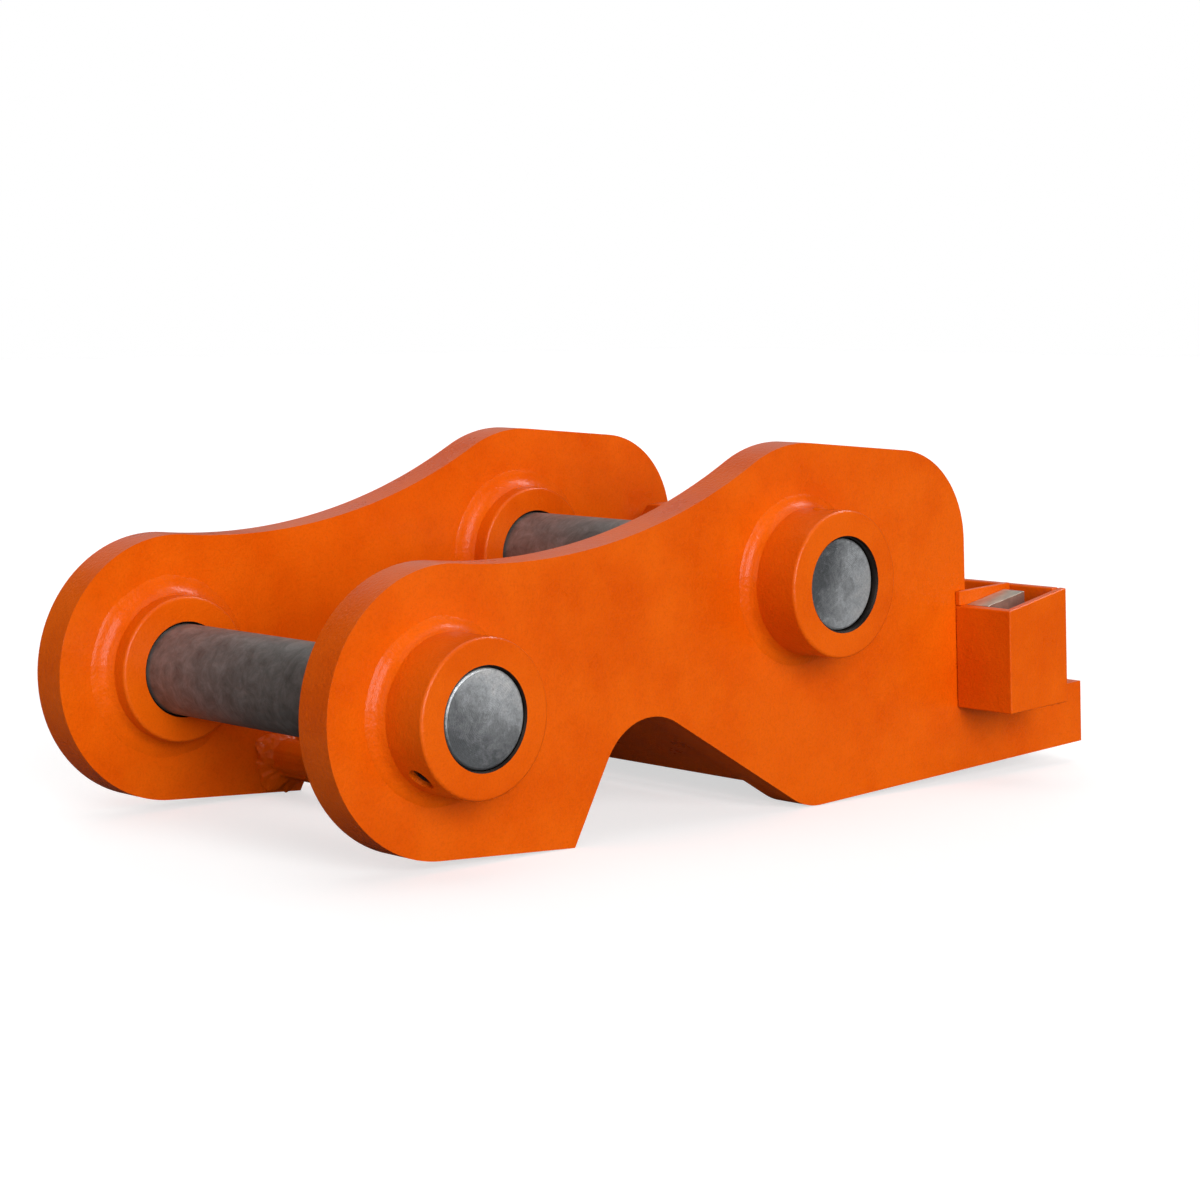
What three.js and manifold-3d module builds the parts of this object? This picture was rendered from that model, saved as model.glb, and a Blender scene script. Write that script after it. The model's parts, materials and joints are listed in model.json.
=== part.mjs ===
// Pin-on quick coupler for a small excavator, standing as it rests on the ground.
// Millimetres, +Z up. X runs from the stick pin (-X) to the lock (+X), Y runs along the pins.
// The origin is on the ground, under the middle of the whole coupler.

import * as THREE from 'three';
import { mergeVertices } from 'three/addons/utils/BufferGeometryUtils.js';
import Module from 'manifold-3d';

const wasm = await Module();
wasm.setup();

const clearance = 0.3;                  // gap between pieces that touch on the real coupler
const roundSides = 48;                  // sides of a full round face
const arcSteps = 14;                    // half the steps of each arc in an outline
const degree = Math.PI / 180;

// Side plates and the two mounting pins
const plateOuterY = 115.5;
const plateThickness = 20;
const plateInnerY = plateOuterY - plateThickness;
const stickPin = { x: -194.8, z: 71.1 };
const linkPin = { x: 33.0, z: 114.2 };
const pinRadius = 22.45;
const pinChamfer = 1.6;
const stickPinRecess = 0.5;
const linkPinRecess = 3;

// Mounting bosses, which pass through the plates and stand out on both faces
const bossRadius = 36;
const bossOuterY = 146;
const bossInnerY = 81;
const boreRadius = pinRadius + clearance;
const edgeChamfer = 1;
const weldLeg = 5.5;
const pinScrewY = 132.5;                // how far out the pin-locking screws stand
const stickScrewAngle = 225 * degree;   // turned from +X towards +Z
const linkScrewAngle = 90 * degree;
const screwRadius = 6;

// Side profile of a plate: circles that touch each other, joined by straight edges
const frontLobe = { x: -191.7, z: 70.4, r: 65.6 };
const humpFront = { x: 34.5, z: 110.1, r: 71.4 };
const humpRear = {
  left: { x: 105.6, z: 124.4, r: 51 },
  right: { x: 96.1, z: 125.2, r: 51 },  // this plate is cut shorter at the back
};
const waist = { x: -152.0, z: 455.7 };  // centre of the long hollow curve of the top edge
const lugCornerX = -115.6;              // sharp lower corner behind the stick pin
const heel = { x: 48.18, z: 36.34, r: 36 };
const hookSeat = { x: -66.7, z: 24.6, r: 31.6 };
const hookFrontAngle = 151.9 * degree;  // direction square to the front wall of the hook
const hookRearAngle = 60 * degree;      // direction square to its rear slope

// Rear body, laid out along the bottom edge, which rises a little towards the back
const rearRise = 2.95 * degree;
const rearOrigin = { x: 42.825, z: 0.0135 };
const humpEndU = { left: 120, right: 110.5 };
const shelfHeight = 33.2;
const plateEndU = 215;

// Hook lining, tie bar and cross plates between the side plates
const crossHalf = plateInnerY - clearance;
const liningRecess = 1;
const liningThickness = 12;
const liningSlope = 80;
const liningLeg = 14;
const tieBar = { x: -128.1, z: 19, radius: 10, weldRadius: 17.6, weldLength: 7 };
const floorPlate = { startU: -8, endU: 202.6, low: 13, thickness: 10 };
const tailPlate = { startU: 203, endU: 214, low: 4, top: 31 };
const midPlate = { startU: 76.5, thickness: 12, top: 134, corner: 18 };

// Open-topped lock box across the back, wider than the side plates
const boxHalf = 152;
const boxWall = 4.5;
const boxFrontU = { left: 112, right: humpEndU.right + clearance };
const boxRearU = 158;
const boxRearWall = 5;
const boxBottom = shelfHeight + 0.5;
const boxFrontTop = 87.2;
const boxRearTop = 94;
const mouthSlope = (boxRearTop - boxFrontTop) / (boxRearU - boxFrontU.left);
const cavityRearU = boxRearU - boxRearWall;
const innerWall = { startU: 110, endU: 120 };
const keyGuide = { innerY: 115.8, thickness: 3, low: 83, top: 95 };

// Lock carriage: a crossbar with a key at each end, driven by a vertical spindle
const spindleU = 134;
const spindleRadius = 8;
const holeRadius = spindleRadius + clearance;
const crossbar = { halfLength: 118.6, depth: 25, low: 62, height: 20 };
const lockKey = { innerY: 119.1, thickness: 14, frontU: 117.4, rearU: 147, low: 35, belowMouth: 0.3, lead: 6 };
const keyBoltHeight = 72;
const boltRadius = 5;
const boltHexRadius = 9.8;
const boltHeadHeight = 6.4;
const nut = { acrossFlats: 24, height: 12.2 };
const headAcrossFlats = 24;
const headLow = 107.3;
const headTop = 118;

// Lid over the spindle, its rails and the keeper that drops over the spindle head
const lid = { startU: 94, endU: 174, half: 52, low: boxRearTop + clearance, thickness: 10, corner: 8 };
const lidTop = lid.low + lid.thickness;
const rail = { height: 18, half: 50, frontU: 94, rearU: boxRearU + clearance, depth: 15.7 };
const lidBoltU = [102, 166];
const lidBoltY = 38;
const keeper = { axisU: 168, axisW: 112.5, thickness: 6, half: 14.7, barrelRadius: 7, tip: 17 };
const keeperPinRadius = 4;
const keeperHoleFlats = 26.6;
const keeperOpenAngle = 172 * degree;
const lug = { innerY: 15, thickness: 7, radius: 8 };

const orange = { color: 0xe45f06, roughness: 0.42, metalness: 0 };
const steel = { color: 0x8a8680, roughness: 0.35, metalness: 1 };
const darkSteel = { color: 0x4c4945, roughness: 0.5, metalness: 1 };
const plated = { color: 0xb9b7ae, roughness: 0.3, metalness: 1 };
const brass = { color: 0xb08a42, roughness: 0.35, metalness: 1 };

const coupler = new THREE.Group();
const rearBody = new THREE.Group();
rearBody.position.set(rearOrigin.x, 0, rearOrigin.z);
rearBody.rotation.y = -rearRise;
coupler.add(rearBody);

// ---- geometry helpers ----

function toSolid(geometry) {
  const bare = geometry.index ? geometry.toNonIndexed() : geometry.clone();
  bare.deleteAttribute('normal');
  bare.deleteAttribute('uv');
  const merged = mergeVertices(bare, 1e-4);
  return new wasm.Manifold(new wasm.Mesh({
    numProp: 3,
    vertProperties: new Float32Array(merged.attributes.position.array),
    triVerts: new Uint32Array(merged.index.array),
  }));
}

function toGeometry(solid) {
  const mesh = solid.getMesh();
  const geometry = new THREE.BufferGeometry();
  geometry.setAttribute('position', new THREE.BufferAttribute(mesh.vertProperties, 3));
  geometry.setIndex(new THREE.BufferAttribute(mesh.triVerts, 1));
  geometry.computeVertexNormals();
  return geometry;
}

function cut(geometry, ...tools) {
  let solid = toSolid(geometry);
  for (const tool of tools) solid = solid.subtract(toSolid(tool));
  return toGeometry(solid);
}

function join(geometry, ...others) {
  let solid = toSolid(geometry);
  for (const other of others) solid = solid.add(toSolid(other));
  return toGeometry(solid);
}

function addPart(parent, name, geometry, finish) {
  const mesh = new THREE.Mesh(geometry, new THREE.MeshStandardMaterial(finish));
  mesh.name = name;
  parent.add(mesh);
  return mesh;
}

// A flat outline drawn in X and Z, given its thickness from lowY to highY.
function slabAlongY(outline, lowY, highY) {
  const geometry = new THREE.ExtrudeGeometry(outline, {
    depth: highY - lowY, bevelEnabled: false, curveSegments: arcSteps,
  });
  geometry.rotateX(Math.PI / 2);
  geometry.translate(0, highY, 0);
  return geometry;
}

// A flat outline drawn in X and Y, given its thickness from lowZ to highZ.
function slabAlongZ(outline, lowZ, highZ) {
  const geometry = new THREE.ExtrudeGeometry(outline, {
    depth: highZ - lowZ, bevelEnabled: false, curveSegments: arcSteps,
  });
  geometry.translate(0, 0, lowZ);
  return geometry;
}

function polygon(points) {
  return new THREE.Shape(points.map(([x, y]) => new THREE.Vector2(x, y)));
}

function block(lowX, highX, lowY, highY, lowZ, highZ) {
  const geometry = new THREE.BoxGeometry(highX - lowX, highY - lowY, highZ - lowZ);
  geometry.translate((lowX + highX) / 2, (lowY + highY) / 2, (lowZ + highZ) / 2);
  return geometry;
}

// A turned shape about the Y axis; the outer wall is listed towards +Y.
function turnedY(profile, sides = roundSides) {
  return new THREE.LatheGeometry(profile.map(([r, y]) => new THREE.Vector2(r, y)), sides);
}

function turnedZ(profile, sides = roundSides) {
  const geometry = turnedY(profile, sides);
  geometry.rotateX(Math.PI / 2);
  return geometry;
}

function rodZ(radius, low, high, sides = 24) {
  return turnedZ([[0, low], [radius, low], [radius, high], [0, high]], sides);
}

function rodY(radius, low, high, sides = 24) {
  return turnedY([[0, low], [radius, low], [radius, high], [0, high]], sides);
}

function ringZ(inner, outer, low, high) {
  return turnedZ([[outer, low], [outer, high], [inner, high], [inner, low], [outer, low]]);
}

// A six-sided prism about Z with two of its flats facing +X and -X.
function hexZ(acrossFlats, low, high) {
  const geometry = rodZ(acrossFlats / Math.sqrt(3), low, high, 6);
  return geometry;
}

function along(circle, angle, radius = circle.r) {
  return [circle.x + radius * Math.cos(angle), circle.z + radius * Math.sin(angle)];
}

// ---- frame ----

// Point of the side view that lies u along the bottom edge and w square to it.
function rearPoint(u, w) {
  const x = rearOrigin.x + u * Math.cos(rearRise) - w * Math.sin(rearRise);
  const z = rearOrigin.z + u * Math.sin(rearRise) + w * Math.cos(rearRise);
  return [x, z];
}

function sidePlateOutline(sideName) {
  const corner = humpRear[sideName];
  const toWaist = Math.atan2(waist.z - frontLobe.z, waist.x - frontLobe.x);
  const waistRadius = Math.hypot(waist.x - frontLobe.x, waist.z - frontLobe.z) - frontLobe.r;
  const humpToWaist = Math.atan2(waist.z - humpFront.z, waist.x - humpFront.x);
  const humpDistance = Math.hypot(corner.x - humpFront.x, corner.z - humpFront.z);
  const humpDirection = Math.atan2(corner.z - humpFront.z, corner.x - humpFront.x);
  const topNormal = humpDirection + Math.acos((humpFront.r - corner.r) / humpDistance);
  const lugDistance = Math.hypot(lugCornerX - frontLobe.x, frontLobe.z);
  const lugDirection = Math.atan2(-frontLobe.z, lugCornerX - frontLobe.x);
  const lugNormal = lugDirection - Math.acos(frontLobe.r / lugDistance);

  const outline = new THREE.Shape();
  outline.moveTo(...rearPoint(plateEndU, 0));
  outline.lineTo(...rearPoint(plateEndU, shelfHeight));
  outline.lineTo(...rearPoint(humpEndU[sideName], shelfHeight));
  outline.lineTo(...along(corner, rearRise));
  outline.absarc(corner.x, corner.z, corner.r, rearRise, topNormal, false);
  outline.absarc(humpFront.x, humpFront.z, humpFront.r, topNormal, humpToWaist, false);
  outline.absarc(waist.x, waist.z, waistRadius, humpToWaist - Math.PI, toWaist - Math.PI, true);
  outline.absarc(frontLobe.x, frontLobe.z, frontLobe.r, toWaist, lugNormal + 2 * Math.PI, false);
  outline.lineTo(lugCornerX, 0);
  outline.absarc(hookSeat.x, hookSeat.z, hookSeat.r, hookFrontAngle, hookRearAngle, true);
  outline.absarc(heel.x, heel.z, heel.r, hookRearAngle - Math.PI, rearRise - Math.PI / 2, false);
  for (const pin of [stickPin, linkPin]) {
    const hole = new THREE.Path();
    hole.absarc(pin.x, pin.z, bossRadius + clearance, 0, 2 * Math.PI, true);
    outline.holes.push(hole);
  }
  return outline;
}

function addSidePlates() {
  const left = slabAlongY(sidePlateOutline('left'), -plateOuterY, -plateInnerY);
  addPart(coupler, 'side_plate_left', left, orange);
  const right = slabAlongY(sidePlateOutline('right'), plateInnerY, plateOuterY);
  addPart(coupler, 'side_plate_right', right, orange);
}

// Boss on the -Y side with its two ring welds; it is mirrored for the +Y side.
function bossGeometry(side) {
  const welded = bossRadius + weldLeg;
  const outerWeld = -plateOuterY - clearance;
  const innerWeld = -plateInnerY + clearance;
  const profile = [
    [boreRadius + edgeChamfer, -bossOuterY], [bossRadius - edgeChamfer, -bossOuterY],
    [bossRadius, -bossOuterY + edgeChamfer], [bossRadius, outerWeld - weldLeg],
    [welded, outerWeld], [bossRadius, outerWeld], [bossRadius, innerWeld], [welded, innerWeld],
    [bossRadius, innerWeld + weldLeg], [bossRadius, -bossInnerY - edgeChamfer],
    [bossRadius - edgeChamfer, -bossInnerY], [boreRadius + edgeChamfer, -bossInnerY],
    [boreRadius, -bossInnerY - edgeChamfer], [boreRadius, -bossOuterY + edgeChamfer],
    [boreRadius + edgeChamfer, -bossOuterY],
  ];
  if (side < 0) return turnedY(profile);
  return turnedY(profile.map(([r, y]) => [r, -y]).reverse());
}

// Puts a tool made along +Z so that it points out from a pin's axis at the locking screw.
function aimAtPin(geometry, pin, angle) {
  geometry.rotateY(Math.PI / 2 - angle);
  geometry.translate(pin.x, -pinScrewY, pin.z);
  return geometry;
}

function addPinAndBosses(name, pin, recess, screwAngle) {
  for (const [sideName, side] of [['left', -1], ['right', 1]]) {
    let boss = bossGeometry(side);
    boss.translate(pin.x, 0, pin.z);
    if (side < 0) {
      boss = cut(boss, aimAtPin(rodZ(screwRadius + clearance, 10, bossRadius + 5), pin, screwAngle));
    }
    addPart(coupler, `${name}_boss_${sideName}`, boss, orange);
  }
  const end = bossOuterY - recess;
  const shaft = turnedY([
    [0, -end], [pinRadius - pinChamfer, -end], [pinRadius, -end + pinChamfer],
    [pinRadius, end - pinChamfer], [pinRadius - pinChamfer, end], [0, end],
  ]);
  shaft.translate(pin.x, 0, pin.z);
  const dogRadius = 4.2;
  const dogEnd = pinRadius - 5;
  const seat = aimAtPin(rodZ(dogRadius + clearance, dogEnd - clearance, pinRadius + 5), pin, screwAngle);
  addPart(coupler, `${name}_pin`, cut(shaft, seat), steel);

  const screwLow = pinRadius + 0.8;
  const screwTop = bossRadius - 2.2;
  const screw = turnedZ([
    [0, dogEnd], [dogRadius, dogEnd], [dogRadius, screwLow], [screwRadius, screwLow],
    [screwRadius, screwTop - 1], [screwRadius - 1, screwTop], [0, screwTop],
  ], 24);
  const socket = cut(screw, hexZ(6, screwTop - 5, screwTop + 1));
  addPart(coupler, `${name}_pin_screw`, aimAtPin(socket, pin, screwAngle), darkSteel);
}

// Lining plate bent over the hook seat and down its rear slope.
function addHookLining() {
  const inner = hookSeat.r + liningRecess;
  const outer = inner + liningThickness;
  const slope = ([x, z]) => [
    x + liningSlope * Math.sin(hookRearAngle), z - liningSlope * Math.cos(hookRearAngle),
  ];
  const leg = ([x, z]) => [
    x - liningLeg * Math.sin(hookFrontAngle), z + liningLeg * Math.cos(hookFrontAngle),
  ];
  const outline = new THREE.Shape();
  outline.moveTo(...slope(along(hookSeat, hookRearAngle, inner)));
  outline.lineTo(...slope(along(hookSeat, hookRearAngle, outer)));
  outline.absarc(hookSeat.x, hookSeat.z, outer, hookRearAngle, hookFrontAngle, false);
  outline.lineTo(...leg(along(hookSeat, hookFrontAngle, outer)));
  outline.lineTo(...leg(along(hookSeat, hookFrontAngle, inner)));
  outline.absarc(hookSeat.x, hookSeat.z, inner, hookFrontAngle, hookRearAngle, true);
  addPart(coupler, 'hook_lining', slabAlongY(outline, -crossHalf, crossHalf), orange);
}

function addTieBar() {
  const { x, z, radius, weldRadius, weldLength } = tieBar;
  const bar = turnedY([
    [0, -crossHalf], [weldRadius, -crossHalf], [radius, -crossHalf + weldLength],
    [radius, crossHalf - weldLength], [weldRadius, crossHalf], [0, crossHalf],
  ], 32);
  bar.translate(x, 0, z);
  addPart(coupler, 'tie_bar', bar, orange);
}

function addFloorAndCrossPlates() {
  const floorTop = floorPlate.low + floorPlate.thickness;
  const floor = block(floorPlate.startU, floorPlate.endU, -crossHalf, crossHalf, floorPlate.low, floorTop);
  const bearing = rodZ(holeRadius, floorPlate.low - 1, floorTop + 1, roundSides);
  bearing.translate(spindleU, 0, 0);
  addPart(rearBody, 'floor_plate', cut(floor, bearing), orange);

  const tail = block(tailPlate.startU, tailPlate.endU, -crossHalf, crossHalf, tailPlate.low, tailPlate.top);
  addPart(rearBody, 'tail_cross_plate', tail, orange);

  const low = floorTop + clearance;
  const { startU, thickness, top, corner } = midPlate;
  const middle = polygon([
    [-crossHalf, low], [crossHalf, low], [crossHalf, top - corner], [crossHalf - corner, top],
    [-crossHalf + corner, top], [-crossHalf, top - corner],
  ]);
  const upright = slabAlongZ(middle, 0, thickness);
  upright.rotateZ(Math.PI / 2);
  upright.rotateY(Math.PI / 2);
  upright.translate(startU, 0, 0);
  addPart(rearBody, 'mid_cross_plate', upright, orange);
}

// ---- lock box ----

function mouthHeight(u) {
  return boxFrontTop + (u - boxFrontU.left) * mouthSlope;
}

function addLockBox() {
  const endInner = boxHalf - boxWall;
  for (const [sideName, side] of [['left', -1], ['right', 1]]) {
    const startU = boxFrontU[sideName];
    const endWall = polygon([
      [startU, boxBottom], [boxRearU, boxBottom], [boxRearU, boxRearTop], [startU, mouthHeight(startU)],
    ]);
    const [lowY, highY] = side < 0 ? [-boxHalf, -endInner] : [endInner, boxHalf];
    addPart(rearBody, `box_end_wall_${sideName}`, slabAlongY(endWall, lowY, highY), orange);

    // the left front wall stands against the plate's face, the right one against its rear edge
    const far = endInner - clearance;
    const [frontLow, frontHigh] = side < 0 ? [-far, -plateOuterY - clearance] : [plateInnerY, far];
    const wallEnd = startU + boxWall;
    const front = block(startU, wallEnd, frontLow, frontHigh, boxBottom, mouthHeight(startU));
    addPart(rearBody, `box_front_wall_${sideName}`, front, orange);

    const guideOutline = polygon([
      [startU, mouthHeight(startU) + clearance], [wallEnd + clearance, mouthHeight(startU) + clearance],
      [wallEnd + clearance, keyGuide.low], [cavityRearU - clearance, keyGuide.low],
      [cavityRearU - clearance, keyGuide.top], [startU, keyGuide.top],
    ]);
    const guideOuter = keyGuide.innerY + keyGuide.thickness;
    const guideY = side < 0 ? [-guideOuter, -keyGuide.innerY] : [keyGuide.innerY, guideOuter];
    addPart(rearBody, `key_guide_${sideName}`, slabAlongY(guideOutline, ...guideY), orange);
  }

  const wallLow = floorPlate.low + floorPlate.thickness + clearance;
  const middle = block(innerWall.startU, innerWall.endU, -crossHalf, crossHalf, wallLow, boxRearTop);
  addPart(rearBody, 'box_front_wall_middle', middle, orange);

  const far = endInner - clearance;
  const upper = block(cavityRearU, boxRearU, -far, far, boxBottom, boxRearTop);
  const lower = block(cavityRearU, boxRearU, -crossHalf, crossHalf, wallLow, boxBottom + 5);
  addPart(rearBody, 'box_rear_wall', join(upper, lower), orange);
}

// ---- lock carriage and its drive ----

function addCarriage() {
  const frontU = spindleU - crossbar.depth / 2;
  const bar = block(
    frontU, frontU + crossbar.depth, -crossbar.halfLength, crossbar.halfLength,
    crossbar.low, crossbar.low + crossbar.height,
  );
  const threadHole = rodZ(holeRadius, crossbar.low - 1, crossbar.low + crossbar.height + 1, roundSides);
  threadHole.translate(spindleU, 0, 0);
  const boltHoles = [-1, 1].map((side) => {
    const reach = [crossbar.halfLength - 23, crossbar.halfLength + 5].map((y) => y * side);
    const hole = rodY(boltRadius + clearance, Math.min(...reach), Math.max(...reach));
    hole.translate(spindleU, 0, keyBoltHeight);
    return hole;
  });
  addPart(rearBody, 'lock_crossbar', cut(bar, threadHole, ...boltHoles), steel);

  const lockNut = cut(
    hexZ(nut.acrossFlats, crossbar.low - clearance - nut.height, crossbar.low - clearance),
    rodZ(holeRadius, 0, crossbar.low, roundSides),
  );
  lockNut.translate(spindleU, 0, 0);
  addPart(rearBody, 'lock_nut', lockNut, brass);

  for (const [sideName, side] of [['left', -1], ['right', 1]]) addKey(sideName, side);
}

function addKey(sideName, side) {
  const { innerY, thickness, frontU, rearU, low, belowMouth, lead } = lockKey;
  const outline = polygon([
    [frontU + lead, low], [rearU - 1, low], [rearU, low + 1], [rearU, mouthHeight(rearU) - belowMouth],
    [frontU, mouthHeight(frontU) - belowMouth], [frontU, low + 2 * lead],
  ]);
  const outerY = innerY + thickness;
  const [lowY, highY] = side < 0 ? [-outerY, -innerY] : [innerY, outerY];
  const hole = rodY(boltRadius + clearance, lowY - 1, highY + 1);
  hole.translate(spindleU, 0, keyBoltHeight);
  addPart(rearBody, `lock_key_${sideName}`, cut(slabAlongY(outline, lowY, highY), hole), steel);

  const head = outerY + clearance;
  const tip = crossbar.halfLength - 20;
  const bolt = turnedY([[0, tip], [boltRadius, tip], [boltRadius, head + 1], [0, head + 1]], 24);
  const hex = turnedY([
    [0, head], [boltHexRadius, head], [boltHexRadius, head + boltHeadHeight], [0, head + boltHeadHeight],
  ], 6);
  const whole = join(bolt, hex);
  if (side < 0) whole.rotateZ(Math.PI);
  whole.translate(spindleU, 0, keyBoltHeight);
  addPart(rearBody, `key_bolt_${sideName}`, whole, plated);
}

function addSpindle() {
  const low = floorPlate.low + 4;
  const pinHeight = 90.2;
  const pinHoleRadius = 2.3;
  const pinHole = rodY(pinHoleRadius, -20, 20, 16);
  pinHole.translate(0, 0, pinHeight);
  const body = turnedZ([
    [0, low], [spindleRadius - 1.5, low], [spindleRadius, low + 1.5],
    [spindleRadius, headLow + 1], [0, headLow + 1],
  ]);
  const spindle = cut(join(body, hexZ(headAcrossFlats, headLow, headTop)), pinHole);
  spindle.translate(spindleU, 0, 0);
  addPart(rearBody, 'lock_spindle', spindle, steel);

  const collarRadius = 14;
  const collar = cut(ringZ(holeRadius, collarRadius, 86.5, boxRearTop), pinHole);
  collar.translate(spindleU, 0, 0);
  addPart(rearBody, 'spindle_collar', collar, darkSteel);

  const collarPin = rodY(pinHoleRadius - clearance, -collarRadius + 0.5, collarRadius - 0.5, 16);
  collarPin.translate(spindleU, 0, pinHeight);
  addPart(rearBody, 'collar_pin', collarPin, plated);

  const washer = ringZ(holeRadius, 15, lidTop + clearance, headLow - clearance);
  washer.translate(spindleU, 0, 0);
  addPart(rearBody, 'spindle_washer', washer, plated);
}

// ---- lid, rails and keeper ----

function roundedPlate(startU, endU, half, corner) {
  const shape = new THREE.Shape();
  shape.absarc(endU - corner, half - corner, corner, 0, Math.PI / 2, false);
  shape.absarc(startU + corner, half - corner, corner, Math.PI / 2, Math.PI, false);
  shape.absarc(startU + corner, -half + corner, corner, Math.PI, 1.5 * Math.PI, false);
  shape.absarc(endU - corner, -half + corner, corner, 1.5 * Math.PI, 2 * Math.PI, false);
  return shape;
}

function lidBoltPlaces() {
  return lidBoltU.flatMap((u) => [[u, -lidBoltY], [u, lidBoltY]]);
}

function addLid() {
  const boltHoles = (low, high) => lidBoltPlaces().map(([u, y]) => {
    const hole = rodZ(boltRadius + clearance, low, high);
    hole.translate(u, y, 0);
    return hole;
  });
  const fittingHole = rodZ(3.3, lid.low + 2, lidTop + 1, 16);
  fittingHole.translate(spindleU - 20, 28, 0);
  const spindleHole = rodZ(holeRadius, lid.low - 1, lidTop + 1, roundSides);
  spindleHole.translate(spindleU, 0, 0);
  const plate = slabAlongZ(roundedPlate(lid.startU, lid.endU, lid.half, lid.corner), lid.low, lidTop);
  const holes = boltHoles(lid.low - 1, lidTop + 1);
  addPart(rearBody, 'lock_lid', cut(plate, spindleHole, fittingHole, ...holes), orange);

  const railTop = boxRearTop;
  const railHoles = boltHoles(railTop - 15, railTop + 1);
  for (const [place, startU, holePair] of [
    ['front', rail.frontU, railHoles.slice(0, 2)], ['rear', rail.rearU, railHoles.slice(2)],
  ]) {
    const bar = block(startU, startU + rail.depth, -rail.half, rail.half, railTop - rail.height, railTop);
    addPart(rearBody, `lid_rail_${place}`, cut(bar, ...holePair), orange);
  }

  lidBoltPlaces().forEach(([u, y], index) => {
    const shank = rodZ(boltRadius, railTop - 13, lidTop + 2);
    const head = rodZ(boltHexRadius, lidTop + clearance, lidTop + clearance + boltHeadHeight, 6);
    const bolt = join(shank, head);
    bolt.translate(u, y, 0);
    addPart(rearBody, `lid_bolt_${index + 1}`, bolt, plated);
  });
}

function addGreaseFitting() {
  const base = lidTop + clearance;
  const fitting = turnedZ([
    [0, base - 6], [3, base - 6], [3, base], [5, base], [5, base + 4], [3, base + 5],
    [3, base + 8], [2, base + 9.5], [3.2, base + 11], [2.4, base + 13], [0, base + 13],
  ], 24);
  fitting.translate(spindleU - 20, 28, 0);
  addPart(rearBody, 'grease_fitting', fitting, plated);
}

// The keeper is made closed over the spindle head, then swung back on its pin.
function addKeeper() {
  const { axisU, axisW, thickness, half, barrelRadius, tip } = keeper;
  const reach = axisU - spindleU;
  const leaf = new THREE.Shape();
  leaf.moveTo(0, -half);
  leaf.lineTo(0, half);
  leaf.lineTo(-lug.radius - 2, half);
  leaf.lineTo(-reach, half + 2);
  leaf.absarc(-reach, 0, tip, Math.PI / 2, 1.5 * Math.PI, false);
  leaf.lineTo(-reach, -half - 2);
  leaf.lineTo(-lug.radius - 2, -half);
  const plate = slabAlongZ(leaf, 0, thickness);
  const hexHole = hexZ(keeperHoleFlats, -5, thickness + 5);
  hexHole.translate(-reach, 0, 0);
  const barrel = rodY(barrelRadius, -half, half, 32);
  const pinHole = rodY(keeperPinRadius + clearance, -half - 5, half + 5, 32);
  const flap = cut(join(plate, barrel), hexHole, pinHole);
  flap.rotateY(keeperOpenAngle);
  flap.translate(axisU, 0, axisW);
  addPart(rearBody, 'head_keeper', flap, plated);

  for (const [sideName, side] of [['left', -1], ['right', 1]]) {
    const base = lidTop + clearance;
    const outline = new THREE.Shape();
    outline.moveTo(axisU + lug.radius, base);
    outline.absarc(axisU, axisW, lug.radius, 0, Math.PI, false);
    outline.lineTo(axisU - lug.radius, base);
    const far = lug.innerY + lug.thickness;
    const [lowY, highY] = side < 0 ? [-far, -lug.innerY] : [lug.innerY, far];
    const hole = rodY(keeperPinRadius + clearance, lowY - 1, highY + 1, 32);
    hole.translate(axisU, 0, axisW);
    addPart(rearBody, `keeper_lug_${sideName}`, cut(slabAlongY(outline, lowY, highY), hole), orange);
  }

  const pinEnd = lug.innerY + lug.thickness + 3;
  const pin = rodY(keeperPinRadius, -pinEnd, pinEnd, 32);
  pin.translate(axisU, 0, axisW);
  addPart(rearBody, 'keeper_pin', pin, darkSteel);
}

addSidePlates();
addPinAndBosses('stick', stickPin, stickPinRecess, stickScrewAngle);
addPinAndBosses('link', linkPin, linkPinRecess, linkScrewAngle);
addHookLining();
addTieBar();
addFloorAndCrossPlates();
addLockBox();
addCarriage();
addSpindle();
addLid();
addGreaseFitting();
addKeeper();

export default coupler;
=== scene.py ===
import json
import math

import bmesh
import bpy
from mathutils import Matrix, Vector, noise


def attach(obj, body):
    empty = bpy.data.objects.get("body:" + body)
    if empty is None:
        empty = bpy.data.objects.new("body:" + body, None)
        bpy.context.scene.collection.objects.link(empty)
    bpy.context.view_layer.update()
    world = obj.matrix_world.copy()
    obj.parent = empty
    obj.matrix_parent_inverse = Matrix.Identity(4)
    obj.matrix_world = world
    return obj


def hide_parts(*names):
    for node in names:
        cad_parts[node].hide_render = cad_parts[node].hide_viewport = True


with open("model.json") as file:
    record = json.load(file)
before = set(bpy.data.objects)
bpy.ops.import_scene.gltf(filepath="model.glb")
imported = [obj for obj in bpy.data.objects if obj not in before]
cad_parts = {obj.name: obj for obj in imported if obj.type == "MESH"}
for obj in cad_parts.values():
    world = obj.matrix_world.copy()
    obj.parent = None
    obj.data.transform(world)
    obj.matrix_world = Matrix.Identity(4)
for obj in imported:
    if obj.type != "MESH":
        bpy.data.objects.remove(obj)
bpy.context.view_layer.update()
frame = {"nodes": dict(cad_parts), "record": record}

mm = 0.001
alongY = Vector((0, 1, 0))
stickPin = (-194.8, 71.1)
linkPin = (33.0, 114.2)
pinRadius = 22.45
print("frame loaded")


def linearColour(hexText):
    parts = [int(hexText[start:start + 2], 16) / 255 for start in (1, 3, 5)]
    linear = [part / 12.92 if part <= 0.04045 else ((part + 0.055) / 1.055) ** 2.4 for part in parts]
    return (*linear, 1.0)


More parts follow.
